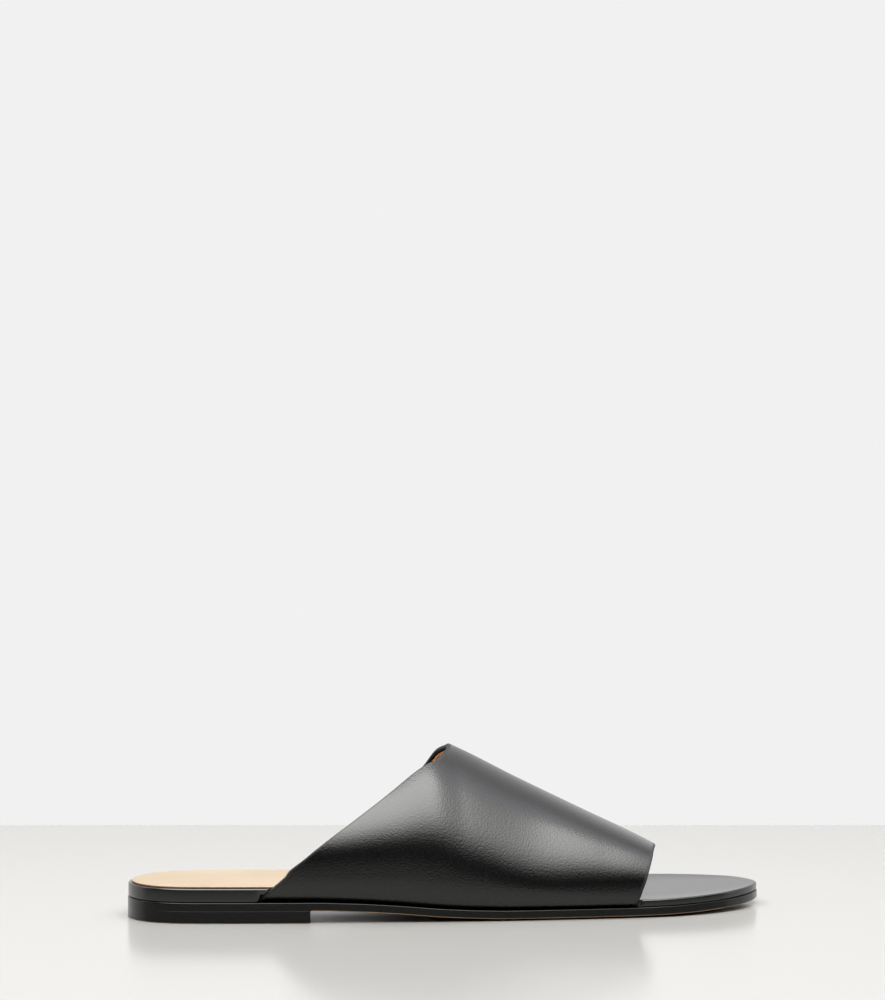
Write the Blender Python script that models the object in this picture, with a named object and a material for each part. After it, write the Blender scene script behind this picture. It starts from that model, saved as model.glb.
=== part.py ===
"""Flat slide sandal for the right foot.

A one-piece leather upper, open at the throat and at the toe, is lasted round a
leather-covered footbed and cemented to a thin outsole with a low heel lift.
The origin lies on the floor under the middle of the heel seat, +X points to the
toe, +Y to the inner (medial) side of the foot and +Z up. Lengths are in metres.
"""

import bmesh
import bpy
import numpy as np

# Driving dimensions of the sole
SOLE_LENGTH = 0.250
BALL_WIDTH = 0.086
HEEL_SEAT_CENTRE = 0.034
OUTSOLE_THICKNESS = 0.0032
OUTSOLE_BEVEL = 0.0004
TREAD_SHARE = 0.5
TOE_SPRING = 0.0017
EDGE_LIFT = 0.0008

# Driving dimensions of the heel lift
HEEL_LIFT_HEIGHT = 0.0044
HEEL_LIFT_LENGTH = 0.0675
HEEL_LIFT_INSET = 0.0002

# Driving dimensions of the footbed and its sock
FOOTBED_HEEL_THICKNESS = 0.0054
FOOTBED_TOE_THICKNESS = 0.0029
FOOTBED_INSET = 0.0006
FOOTBED_RIM_RADIUS = 0.0012
REBATE_DEPTH = 0.0003
SOCK_THICKNESS = 0.0007
SOCK_INSET = 0.0015
SOCK_LENGTH = 0.104

# Driving dimensions of the upper
VAMP_HEIGHT = 0.0642
WALL = 0.0018
ROLL_WIDTH = 0.0050
BULGE = 0.0015
ROLL_SHARE = 0.06
MARGIN_WIDTH = 0.0080
MARGIN_THICKNESS = 0.0009
RECESS_RUN = 0.0022

# Clearance that curved neighbours keep
GAP = 0.0003

# Mesh density
UPPER_ROWS = 21
ROLL_STEPS = 4
ARCH_STEPS = 13
PLATE_ROWS = 34
PLATE_COLUMNS = 6
EDGE_SAMPLES = 961
WELD_DISTANCE = 0.00001
SHARP_ANGLE = 0.7

# Colours, as red, green and blue
BLACK = (0.012, 0.012, 0.013)
TAN = (0.72, 0.50, 0.32)

# Plan of the sole: a row for each station from the heel's back to the toe's tip.
# along is a share of SOLE_LENGTH, lateral and medial are shares of BALL_WIDTH.
SOLE_PLAN = np.array(
    [
        (0.000, 0.017, -0.017),
        (0.018, 0.195, 0.161),
        (0.042, 0.263, 0.245),
        (0.076, 0.305, 0.300),
        (0.124, 0.331, 0.320),
        (0.188, 0.357, 0.306),
        (0.256, 0.379, 0.282),
        (0.380, 0.413, 0.276),
        (0.500, 0.433, 0.362),
        (0.608, 0.440, 0.486),
        (0.720, 0.433, 0.556),
        (0.812, 0.416, 0.528),
        (0.868, 0.373, 0.484),
        (0.916, 0.305, 0.412),
        (0.954, 0.216, 0.324),
        (0.980, 0.121, 0.236),
        (0.994, 0.040, 0.142),
        (1.000, -0.035, 0.035),
    ],
    dtype=[("along", float), ("lateral", float), ("medial", float)],
)

# Side view of the sole's underside, and how the footbed thins from heel to ball.
# heel_rise is a share of the heel lift's top, toe_rise of TOE_SPRING,
# edge_lift of EDGE_LIFT and heel_thickness of the footbed's extra heel thickness.
SOLE_PROFILE = np.array(
    [
        (0.00, 1.000, 0.00, 0.00, 1.00),
        (0.27, 1.000, 0.00, 0.00, 0.98),
        (0.34, 0.900, 0.00, 0.00, 0.86),
        (0.40, 0.680, 0.00, 0.20, 0.66),
        (0.47, 0.310, 0.00, 0.55, 0.38),
        (0.53, 0.090, 0.00, 0.85, 0.16),
        (0.58, 0.000, 0.00, 1.00, 0.04),
        (0.76, 0.000, 0.00, 1.00, 0.00),
        (0.83, 0.000, 0.10, 1.00, 0.00),
        (0.88, 0.000, 0.29, 1.00, 0.00),
        (0.94, 0.000, 0.62, 1.00, 0.00),
        (1.00, 0.000, 1.00, 1.00, 0.00),
    ],
    dtype=[
        ("along", float),
        ("heel_rise", float),
        ("toe_rise", float),
        ("edge_lift", float),
        ("heel_thickness", float),
    ],
)

# Sections of the upper, taken across the foot.
# ridge_height and the two widest heights are shares of VAMP_HEIGHT, ridge_side is a
# share of BALL_WIDTH, and the bulges are shares of BULGE beyond the outsole's edge.
# A flank is an ellipse where wall and crown are 2: a larger wall keeps it upright for
# longer, and a larger crown flattens it towards the ridge.
UPPER_SECTIONS = np.array(
    [
        (0.16, 0.75, 0.080, 0.4, 0.4, 0.270, 0.280, 3.00, 1.40, 1.90, 1.90),
        (0.28, 0.80, 0.100, 0.8, 1.6, 0.280, 0.340, 3.00, 1.30, 1.90, 1.90),
        (0.40, 0.98, 0.112, 1.0, 2.8, 0.280, 0.370, 2.80, 1.20, 1.95, 1.95),
        (0.46, 1.075, 0.114, 1.0, 2.5, 0.262, 0.350, 2.40, 1.40, 1.98, 1.98),
        (0.51, 1.00, 0.116, 1.0, 2.2, 0.238, 0.330, 2.08, 1.58, 2.00, 2.00),
        (0.62, 0.785, 0.110, 1.0, 1.2, 0.186, 0.255, 1.76, 1.95, 2.05, 2.05),
        (0.72, 0.595, 0.092, 1.0, 0.9, 0.163, 0.215, 2.10, 2.60, 2.10, 2.10),
        (0.82, 0.407, 0.072, 1.0, 0.8, 0.157, 0.190, 2.50, 3.40, 2.15, 2.15),
        (0.86, 0.320, 0.066, 1.0, 0.8, 0.153, 0.185, 2.50, 3.50, 2.15, 2.15),
    ],
    dtype=[
        ("along", float),
        ("ridge_height", float),
        ("ridge_side", float),
        ("lateral_bulge", float),
        ("medial_bulge", float),
        ("lateral_widest", float),
        ("medial_widest", float),
        ("lateral_wall", float),
        ("lateral_crown", float),
        ("medial_wall", float),
        ("medial_crown", float),
    ],
)

# Where the upper is cut at the throat and at the toe.
# around runs from the lateral feather edge (0) over the ridge (0.5) to the medial
# one (1), throat and toe are shares of SOLE_LENGTH.
UPPER_CUTS = np.array(
    [
        (0.000, 0.189, 0.773),
        (0.023, 0.197, 0.774),
        (0.042, 0.212, 0.778),
        (0.060, 0.231, 0.782),
        (0.082, 0.256, 0.786),
        (0.114, 0.282, 0.790),
        (0.145, 0.307, 0.793),
        (0.186, 0.345, 0.797),
        (0.225, 0.385, 0.801),
        (0.267, 0.425, 0.805),
        (0.300, 0.454, 0.808),
        (0.330, 0.475, 0.811),
        (0.380, 0.491, 0.817),
        (0.440, 0.503, 0.825),
        (0.500, 0.508, 0.833),
        (0.550, 0.507, 0.837),
        (0.630, 0.495, 0.839),
        (0.720, 0.478, 0.838),
        (0.800, 0.437, 0.831),
        (0.870, 0.383, 0.824),
        (0.940, 0.332, 0.815),
        (0.970, 0.316, 0.810),
        (1.000, 0.306, 0.806),
    ],
    dtype=[("around", float), ("throat", float), ("toe", float)],
)


def smooth(knots, values, position):
    """Read values at any position on a smooth curve through its rows, without overshoot."""
    steps = np.diff(knots)
    slopes = np.diff(values) / steps
    product = slopes[:-1] * slopes[1:]
    total = np.where(product > 0, slopes[:-1] + slopes[1:], 1.0)
    inner = np.where(product > 0, 2 * product / total, 0.0)
    tangents = np.concatenate([slopes[:1], inner, slopes[-1:]])
    position = np.clip(position, knots[0], knots[-1])
    row = np.clip(np.searchsorted(knots, position, side="right") - 1, 0, len(steps) - 1)
    t = (position - knots[row]) / steps[row]
    return (
        (2 * t**3 - 3 * t**2 + 1) * values[row]
        + (t**3 - 2 * t**2 + t) * steps[row] * tangents[row]
        + (3 * t**2 - 2 * t**3) * values[row + 1]
        + (t**3 - t**2) * steps[row] * tangents[row + 1]
    )


def table_value(table, column, x):
    return smooth(table["along"], table[column], x / SOLE_LENGTH)


def sole_edge(x, side):
    """Side position of the sole's edge, x metres from the heel's back.

    The rows are joined over the angle of a circle whose diameter is the sole, which
    keeps the heel and the toe round.
    """
    angle = np.arccos(np.clip(1 - 2 * x / SOLE_LENGTH, -1, 1))
    knots = np.arccos(1 - 2 * SOLE_PLAN["along"])
    outward = -1 if side == "lateral" else 1
    return outward * BALL_WIDTH * smooth(knots, SOLE_PLAN[side], angle)


def sole_bottom(x, y):
    """Height of the outsole's underside: flat tread in the middle, edges lifted."""
    lateral, medial = sole_edge(x, "lateral"), sole_edge(x, "medial")
    half = np.maximum((medial - lateral) / 2, GAP)
    across = np.abs(y - (lateral + medial) / 2) / half
    length = np.abs(2 * x / SOLE_LENGTH - 1)
    flat = 1.0
    for reach in (across, length):
        edge = np.clip((reach - TREAD_SHARE) / (1 - TREAD_SHARE), 0, 1)
        flat = flat * (1 - edge**2)
    crown = 1 - flat
    return (
        (HEEL_LIFT_HEIGHT + GAP) * table_value(SOLE_PROFILE, "heel_rise", x)
        + TOE_SPRING * table_value(SOLE_PROFILE, "toe_rise", x)
        + EDGE_LIFT * table_value(SOLE_PROFILE, "edge_lift", x) * crown
    )


def footbed_thickness(x):
    extra = FOOTBED_HEEL_THICKNESS - FOOTBED_TOE_THICKNESS
    return FOOTBED_TOE_THICKNESS + extra * table_value(SOLE_PROFILE, "heel_thickness", x)


def flank(x, side):
    """Sizes of one flank of the upper's sections: a dictionary of arrays over x."""
    outward = -1 if side == "lateral" else 1
    bulge = BULGE * table_value(UPPER_SECTIONS, side + "_bulge", x)
    widest = sole_edge(x, side) + outward * bulge
    feather = widest - outward * ROLL_WIDTH
    return {
        "outward": outward,
        "widest": widest,
        "feather": feather,
        "foot": sole_bottom(x, feather) + OUTSOLE_THICKNESS + GAP,
        "height": VAMP_HEIGHT * table_value(UPPER_SECTIONS, side + "_widest", x),
        "wall": table_value(UPPER_SECTIONS, side + "_wall", x),
        "crown": table_value(UPPER_SECTIONS, side + "_crown", x),
    }


def upper_surface(x, around, inside):
    """A point of the upper's outer face, or of its inner one.

    From the feather edge each flank rolls out and up on a quarter ellipse to its
    widest point, then runs to the ridge on a quarter of a superellipse.
    """
    depth = WALL if inside else 0.0
    foot_depth = MARGIN_THICKNESS if inside else 0.0
    ridge_side = BALL_WIDTH * table_value(UPPER_SECTIONS, "ridge_side", x)
    slope = ridge_slope(x)
    ridge_height = VAMP_HEIGHT * table_value(UPPER_SECTIONS, "ridge_height", x)
    ridge_height = ridge_height - depth * np.hypot(1, slope)
    y, z = np.empty_like(x), np.empty_like(x)
    for side in ("lateral", "medial"):
        part = flank(x, side)
        share = around if side == "lateral" else 1 - around
        turn = np.pi / 2 * np.clip(1 - share / ROLL_SHARE, 0, 1)
        roll_y = part["feather"] + part["outward"] * (ROLL_WIDTH - depth) * np.cos(turn)
        fall = part["height"] - part["foot"] - foot_depth
        roll_z = part["height"] - fall * np.sin(turn)
        climb = np.pi / 2 * np.clip((share - ROLL_SHARE) / (0.5 - ROLL_SHARE), 0, 1)
        start = part["widest"] - part["outward"] * depth
        arch_y = ridge_side + (start - ridge_side) * np.cos(climb) ** (2 / part["crown"])
        arch_rise = (ridge_height - part["height"]) * np.sin(climb) ** (2 / part["wall"])
        here = around <= 0.5 if side == "lateral" else around > 0.5
        low = share < ROLL_SHARE
        y = np.where(here, np.where(low, roll_y, arch_y), y)
        z = np.where(here, np.where(low, roll_z, part["height"] + arch_rise), z)
    return np.stack([x, y, z], axis=-1)


def ridge_slope(x):
    """How steeply the ridge falls towards the toe, as rise over run."""
    step = 0.01 * SOLE_LENGTH
    ahead = table_value(UPPER_SECTIONS, "ridge_height", x + step)
    behind = table_value(UPPER_SECTIONS, "ridge_height", x - step)
    return VAMP_HEIGHT * (ahead - behind) / (2 * step)


def cut_line(around, end):
    """Distance of the throat's or the toe's cut from the heel's back."""
    return SOLE_LENGTH * smooth(UPPER_CUTS["around"], UPPER_CUTS[end], around)


def upper_grid(inside):
    """Points of one face of the upper: rows from throat to toe, columns around the foot.

    The cut edges stand square to the leather, so on the falling ridge the inner face
    ends a little nearer to the heel. The first and last columns are the lasting
    margin, turned in under the footbed.
    """
    roll = np.linspace(0, ROLL_SHARE, ROLL_STEPS, endpoint=False)
    arch = np.linspace(ROLL_SHARE, 0.5, ARCH_STEPS, endpoint=False)
    around = np.concatenate([roll, arch, [0.5], 1 - arch[::-1], 1 - roll[::-1]])
    along = np.linspace(0, 1, UPPER_ROWS)[:, None]
    throat, toe = cut_line(around, "throat"), cut_line(around, "toe")
    x = throat + (toe - throat) * along
    if inside:
        fall = -np.sin(np.arctan(ridge_slope(x)))
        x = x - WALL * fall * np.sin(np.pi * around)
    around = np.broadcast_to(around, x.shape)
    points = upper_surface(x, around, inside)
    margins = []
    for side, column in (("lateral", 0), ("medial", -1)):
        edge = points[:, column].copy()
        outward = -1 if side == "lateral" else 1
        edge[:, 1] -= outward * MARGIN_WIDTH
        edge[:, 2] = sole_bottom(edge[:, 0], edge[:, 1]) + OUTSOLE_THICKNESS + GAP
        edge[:, 2] += MARGIN_THICKNESS if inside else 0.0
        margins.append(edge[:, None])
    return np.concatenate([margins[0], points, margins[1]], axis=1)


def material(name, colour, roughness):
    shade = bpy.data.materials.new(name)
    shade.use_nodes = True
    surface = shade.node_tree.nodes["Principled BSDF"]
    surface.inputs["Base Color"].default_value = (*colour, 1.0)
    surface.inputs["Roughness"].default_value = roughness
    surface.inputs["Metallic"].default_value = 0.0
    return shade


def add_object(name, vertices, faces, shade):
    """Make one closed, smooth-shaded object, with its origin under the heel seat."""
    points = np.array(vertices, dtype=float)
    points[:, 0] -= HEEL_SEAT_CENTRE
    mesh = bpy.data.meshes.new(name)
    mesh.from_pydata(points.tolist(), [], faces)
    body = bmesh.new()
    body.from_mesh(mesh)
    bmesh.ops.remove_doubles(body, verts=body.verts, dist=WELD_DISTANCE)
    bmesh.ops.triangulate(body, faces=body.faces)
    bmesh.ops.recalc_face_normals(body, faces=body.faces)
    body.to_mesh(mesh)
    body.free()
    mesh.shade_smooth()
    mesh.set_sharp_from_angle(angle=SHARP_ANGLE)
    mesh.materials.append(shade)
    thing = bpy.data.objects.new(name, mesh)
    bpy.context.scene.collection.objects.link(thing)
    return thing


def make_upper():
    outer, inner = upper_grid(False), upper_grid(True)
    rows, columns = outer.shape[:2]
    vertices = np.concatenate([outer.reshape(-1, 3), inner.reshape(-1, 3)])
    outer_index = np.arange(rows * columns).reshape(rows, columns)
    inner_index = outer_index + rows * columns
    faces = []
    for grid in (outer_index, inner_index):
        quads = np.stack([grid[:-1, :-1], grid[1:, :-1], grid[1:, 1:], grid[:-1, 1:]], axis=-1)
        faces.extend(quads.reshape(-1, 4).tolist())
    for strip in (np.s_[0, :], np.s_[-1, :], np.s_[:, 0], np.s_[:, -1]):
        out, within = outer_index[strip], inner_index[strip]
        quads = np.stack([out[:-1], out[1:], within[1:], within[:-1]], axis=-1)
        faces.extend(quads.tolist())
    return add_object("upper", vertices, faces, material("black_leather", BLACK, 0.42))


def inset_edges(insets):
    """Both edges of the sole's plan, moved in by an inset for each of their points."""
    turn = np.linspace(0, np.pi, EDGE_SAMPLES)
    x = SOLE_LENGTH * (1 - np.cos(turn)) / 2
    lateral = np.stack([x, sole_edge(x, "lateral")], axis=-1)
    medial = np.stack([x, sole_edge(x, "medial")], axis=-1)
    loop = np.concatenate([lateral, medial[-2:0:-1]])
    inset = np.concatenate([insets[0](x), insets[1](x)[-2:0:-1]])
    tangent = np.roll(loop, -1, axis=0) - np.roll(loop, 1, axis=0)
    tangent /= np.linalg.norm(tangent, axis=1, keepdims=True)
    outward = np.stack([tangent[:, 1], -tangent[:, 0]], axis=-1)
    loop = loop - outward * inset[:, None]
    return loop[:EDGE_SAMPLES], np.concatenate([loop[:1], loop[: EDGE_SAMPLES - 2 : -1]])


def plan_rows(insets, cut, stops):
    """A grid of plan points: rows from heel to toe, columns from lateral to medial.

    The first row shrinks to the heel's back. With no cut the last one shrinks to
    the toe's tip, and with a cut it lies straight across. Stops are distances that
    get a row of their own, where the side steps in or out.
    """
    lateral, medial = inset_edges(insets)
    turn = np.linspace(0, np.pi if cut is None else np.pi / 2, PLATE_ROWS)
    share = (1 - np.cos(turn)) / (2 if cut is None else 1)
    start = lateral[0, 0]
    end = lateral[-1, 0] if cut is None else cut
    x = np.unique(np.concatenate([start + (end - start) * share, stops]))
    low = np.interp(x, lateral[:, 0], lateral[:, 1])
    high = np.interp(x, medial[:, 0], medial[:, 1])
    across = np.linspace(0, 1, PLATE_COLUMNS)
    y = low[:, None] + (high - low)[:, None] * across
    return np.stack([np.broadcast_to(x[:, None], y.shape), y], axis=-1)


def make_plate(name, levels, shade, cut=None, stops=()):
    """Build a closed plate from levels, each a pair of insets, a height and a cut back.

    The first level is the underside and the last one the top, each a full grid, and
    the levels between them are loops round the side.
    """
    rows = PLATE_ROWS + len(stops)
    grid = np.arange(rows * PLATE_COLUMNS).reshape(rows, PLATE_COLUMNS)
    border = np.concatenate([grid[:, 0], grid[-1, 1:], grid[-2:0:-1, -1]])
    quads = np.stack([grid[:-1, :-1], grid[1:, :-1], grid[1:, 1:], grid[:-1, 1:]], axis=-1)
    vertices, faces, previous = [], [], None
    for number, (insets, height, cut_back) in enumerate(levels):
        plan = plan_rows(insets, None if cut is None else cut - cut_back, stops)
        plan = plan.reshape(-1, 2)
        points = np.column_stack([plan, height(plan[:, 0], plan[:, 1])])
        first = sum(len(block) for block in vertices)
        if number in (0, len(levels) - 1):
            vertices.append(points)
            faces.extend((quads.reshape(-1, 4) + first).tolist())
            loop = border + first
        else:
            vertices.append(points[border])
            loop = first + np.arange(len(border))
        if previous is not None:
            after = np.roll(loop, -1), np.roll(previous, -1)
            faces.extend(np.stack([previous, after[1], after[0], loop], axis=-1).tolist())
        previous = loop
    return add_object(name, np.concatenate(vertices), faces, shade)


def even(inset):
    """The same inset on both edges, as functions of the distance from the heel."""
    return (lambda x: np.full_like(x, inset),) * 2


def make_outsole():
    def level(inset, rise):
        return even(inset), lambda x, y: sole_bottom(x, y) + rise, 0.0

    top = OUTSOLE_THICKNESS
    levels = [
        level(OUTSOLE_BEVEL, 0.0),
        level(0.0, OUTSOLE_BEVEL),
        level(0.0, top - OUTSOLE_BEVEL),
        level(OUTSOLE_BEVEL, top),
    ]
    return make_plate("outsole", levels, material("black_sole_edge", BLACK, 0.35))


def make_heel_lift():
    def level(inset, height, cut_back):
        return even(HEEL_LIFT_INSET + inset), lambda x, y: np.full_like(x, height), cut_back

    bevel, top = OUTSOLE_BEVEL, HEEL_LIFT_HEIGHT
    levels = [
        level(bevel, 0.0, bevel),
        level(0.0, bevel, 0.0),
        level(0.0, top, 0.0),
    ]
    shade = material("black_heel", BLACK, 0.4)
    return make_plate("heel_lift", levels, shade, cut=HEEL_LIFT_LENGTH)


def vamp_ends(side):
    """Where the upper's rolled foot starts and ends, as distances from the heel's back."""
    feather, widest = (0.0, ROLL_SHARE) if side == "lateral" else (1.0, 1 - ROLL_SHARE)
    return cut_line(feather, "throat"), cut_line(widest, "toe")


def vamp_share(x, side):
    """1 where the upper passes the footbed's side, 0 clear of it, with a short run between."""
    start, end = vamp_ends(side)
    rise = (x - start + RECESS_RUN) / (RECESS_RUN - GAP)
    fall = (end + RECESS_RUN - x) / (RECESS_RUN - GAP)
    return np.clip(np.minimum(rise, fall), 0, 1)


def footbed_insets(height_share, trim):
    """Insets of the footbed's side at a share of its thickness.

    Clear of the upper it is the plain inset. Under the vamp the side keeps a gap to
    the upper's rolled inner face at that height.
    """

    def inset(side):
        def of_x(x):
            part = flank(x, side)
            rise = np.maximum(height_share * footbed_thickness(x) - MARGIN_THICKNESS, GAP)
            fall = part["height"] - part["foot"] - MARGIN_THICKNESS
            reach = np.sqrt(np.maximum(1 - (1 - rise / fall) ** 2, 0))
            inner = part["feather"] + part["outward"] * (ROLL_WIDTH - WALL) * reach
            clear = part["outward"] * (sole_edge(x, side) - inner) + 2.5 * GAP
            share = vamp_share(x, side)
            return trim + FOOTBED_INSET + (clear - FOOTBED_INSET).clip(0) * share

        return of_x

    return inset("lateral"), inset("medial")


def footbed_height(share, drop):
    """Height over the plan at a share of the footbed's thickness, less a drop."""

    def of_plan(x, y):
        foot = sole_bottom(x, y) + OUTSOLE_THICKNESS + GAP
        return foot + footbed_thickness(x) * share - drop

    return of_plan


def rebate_height(x, y):
    """Height of the step under the footbed's rim that the lasting margin lies in."""
    lateral, medial = vamp_share(x, "lateral"), vamp_share(x, "medial")
    middle = (sole_edge(x, "lateral") + sole_edge(x, "medial")) / 2
    share = np.where(y < middle, lateral, medial)
    depth = REBATE_DEPTH + (MARGIN_THICKNESS + 2 * GAP - REBATE_DEPTH) * share
    return sole_bottom(x, y) + OUTSOLE_THICKNESS + GAP + depth


def make_footbed():
    ledge = ROLL_WIDTH + MARGIN_WIDTH + GAP
    rim = FOOTBED_RIM_RADIUS
    levels = [
        (even(ledge), footbed_height(0.0, 0.0), 0.0),
        (even(ledge), rebate_height, 0.0),
        (footbed_insets(0.30, 0.25 * rim), rebate_height, 0.0),
        (footbed_insets(0.55, 0.0), footbed_height(0.62, 0.0), 0.0),
        (footbed_insets(1.0, 0.29 * rim), footbed_height(1.0, 0.29 * rim), 0.0),
        (footbed_insets(1.0, rim), footbed_height(1.0, 0.0), 0.0),
    ]
    stops = []
    for side in ("lateral", "medial"):
        start, end = vamp_ends(side)
        stops += [start - RECESS_RUN, start - GAP, end + GAP, end + RECESS_RUN]
    shade = material("black_footbed", BLACK, 0.45)
    return make_plate("footbed", levels, shade, stops=stops)


def make_sock():
    inset = FOOTBED_INSET + SOCK_INSET
    bevel = SOCK_THICKNESS / 3

    def level(extra, rise):
        return even(inset + extra), footbed_height(1.0, -rise), extra

    levels = [
        level(0.0, GAP),
        level(0.0, GAP + SOCK_THICKNESS - bevel),
        level(bevel, GAP + SOCK_THICKNESS),
    ]
    shade = material("tan_sock", TAN, 0.55)
    return make_plate("insole_sock", levels, shade, cut=SOCK_LENGTH)


def clear_scene():
    for thing in list(bpy.data.objects):
        bpy.data.objects.remove(thing, do_unlink=True)


clear_scene()
make_outsole()
make_heel_lift()
make_footbed()
make_sock()
make_upper()
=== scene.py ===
"""Looks of a flat slide sandal for the right foot, standing on a pale studio floor.

Each section is one piece of the sandal, in the order in which a maker puts them
together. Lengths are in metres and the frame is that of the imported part: +X points to
the toe, +Y to the inner side of the foot, +Z up. Inside the functions x is measured
from the heel's back.
"""

import bmesh
import bpy
import numpy as np
from mathutils import Matrix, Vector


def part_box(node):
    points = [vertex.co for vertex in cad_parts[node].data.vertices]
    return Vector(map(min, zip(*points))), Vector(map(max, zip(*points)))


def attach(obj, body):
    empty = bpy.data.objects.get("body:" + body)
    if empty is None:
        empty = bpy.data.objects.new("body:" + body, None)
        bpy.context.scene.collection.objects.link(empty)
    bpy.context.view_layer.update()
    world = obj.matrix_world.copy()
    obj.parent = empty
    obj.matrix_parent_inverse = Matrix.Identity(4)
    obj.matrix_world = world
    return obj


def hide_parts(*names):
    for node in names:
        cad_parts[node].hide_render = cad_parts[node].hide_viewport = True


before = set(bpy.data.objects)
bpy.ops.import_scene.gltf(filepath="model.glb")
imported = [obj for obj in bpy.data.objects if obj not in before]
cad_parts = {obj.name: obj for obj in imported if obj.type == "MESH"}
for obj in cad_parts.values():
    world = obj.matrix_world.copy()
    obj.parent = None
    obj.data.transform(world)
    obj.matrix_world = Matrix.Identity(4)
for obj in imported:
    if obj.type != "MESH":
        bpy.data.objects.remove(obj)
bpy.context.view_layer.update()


# Outsole
# One layer of vegetable-tanned leather about 3 mm thick, cut to the plan of the last.
# Its edge is sanded, waxed and inked black, and the tread side is left natural.

HEEL_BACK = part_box("outsole")[0].x
SOLE_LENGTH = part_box("outsole")[1].x - HEEL_BACK
BALL_WIDTH = 0.086
OUTSOLE_THICKNESS = 0.0032
OUTSOLE_TOP_ROUND = 0.0004
OUTSOLE_FOOT_ROUND = 0.0005
SIDE_HOLD = 0.00008
HEEL_LIFT_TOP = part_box("heel_lift")[1].z
HEEL_LIFT_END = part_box("heel_lift")[1].x - HEEL_BACK
JOINT_GAP = 0.0003
GLUE_LINE = 0.00003
TOE_SPRING = 0.0017
EDGE_LIFT = 0.0008
TREAD_SHARE = 0.5
LOOP_STEPS = 300
FLAT_STEPS = 24
ROUND_STEPS = 6
BREAST_BLEND = (0.0006, 0.0004)
SPINE_ENDS = (0.25, 0.8)
INK_BLACK = (0.0012, 0.0012, 0.0012, 1)
INK_WORN = (0.0030, 0.0029, 0.0028, 1)
INK_SHEEN = 0.3
INK_GRAIN_DEPTH = 0.00003
BARE_LEATHER = (0.46, 0.27, 0.145, 1)
BARE_LEATHER_DARK = (0.30, 0.165, 0.085, 1)

# Plan of the sole from heel to toe: along is a share of SOLE_LENGTH, lateral and
# medial are shares of BALL_WIDTH.
SOLE_PLAN = np.array(
    [
        (0.000, 0.017, -0.017),
        (0.018, 0.195, 0.161),
        (0.042, 0.263, 0.245),
        (0.076, 0.305, 0.300),
        (0.124, 0.331, 0.320),
        (0.188, 0.357, 0.306),
        (0.256, 0.379, 0.282),
        (0.380, 0.413, 0.276),
        (0.500, 0.433, 0.362),
        (0.608, 0.440, 0.486),
        (0.720, 0.433, 0.556),
        (0.812, 0.416, 0.528),
        (0.868, 0.373, 0.484),
        (0.916, 0.305, 0.412),
        (0.954, 0.216, 0.324),
        (0.980, 0.121, 0.236),
        (0.994, 0.040, 0.142),
        (1.000, -0.035, 0.035),
    ],
    dtype=[("along", float), ("lateral", float), ("medial", float)],
)

# Side view of the underside: heel_rise is a share of the heel lift's top, toe_rise of
# TOE_SPRING, edge_lift of EDGE_LIFT, and heel_thickness of the footbed's extra
# thickness under the heel.
SOLE_PROFILE = np.array(
    [
        (0.00, 1.000, 0.00, 0.00, 1.00),
        (0.27, 1.000, 0.00, 0.00, 0.98),
        (0.34, 0.900, 0.00, 0.00, 0.86),
        (0.40, 0.680, 0.00, 0.20, 0.66),
        (0.47, 0.310, 0.00, 0.55, 0.38),
        (0.53, 0.090, 0.00, 0.85, 0.16),
        (0.58, 0.000, 0.00, 1.00, 0.04),
        (0.76, 0.000, 0.00, 1.00, 0.00),
        (0.83, 0.000, 0.10, 1.00, 0.00),
        (0.88, 0.000, 0.29, 1.00, 0.00),
        (0.94, 0.000, 0.62, 1.00, 0.00),
        (1.00, 0.000, 1.00, 1.00, 0.00),
    ],
    dtype=[
        ("along", float),
        ("heel_rise", float),
        ("toe_rise", float),
        ("edge_lift", float),
        ("heel_thickness", float),
    ],
)


def smooth(knots, values, position):
    """A curve through rows of a table: cubic between rows, harmonic mean of the slopes at them."""
    steps = np.diff(knots)
    slopes = np.diff(values) / steps
    product = slopes[:-1] * slopes[1:]
    total = np.where(product > 0, slopes[:-1] + slopes[1:], 1.0)
    inner = np.where(product > 0, 2 * product / total, 0.0)
    tangents = np.concatenate([slopes[:1], inner, slopes[-1:]])
    position = np.clip(position, knots[0], knots[-1])
    row = np.clip(np.searchsorted(knots, position, side="right") - 1, 0, len(steps) - 1)
    t = (position - knots[row]) / steps[row]
    return (
        (2 * t**3 - 3 * t**2 + 1) * values[row]
        + (t**3 - 2 * t**2 + t) * steps[row] * tangents[row]
        + (3 * t**2 - 2 * t**3) * values[row + 1]
        + (t**3 - t**2) * steps[row] * tangents[row + 1]
    )


def ease(low, high, position):
    """0 below low, 1 above high, and 3t^2 - 2t^3 between."""
    t = np.clip((position - low) / (high - low), 0, 1)
    return t * t * (3 - 2 * t)


def table_value(table, column, x):
    """A column of a table whose rows lie along the sole, at a distance from the heel's back."""
    return smooth(table["along"], table[column], x / SOLE_LENGTH)


def sole_edge(x, side):
    """Side position of the sole's edge, its rows joined over the angle of a circle on the sole."""
    angle = np.arccos(np.clip(1 - 2 * x / SOLE_LENGTH, -1, 1))
    knots = np.arccos(1 - 2 * SOLE_PLAN["along"])
    outward = -1 if side == "lateral" else 1
    return outward * BALL_WIDTH * smooth(knots, SOLE_PLAN[side], angle)


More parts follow.
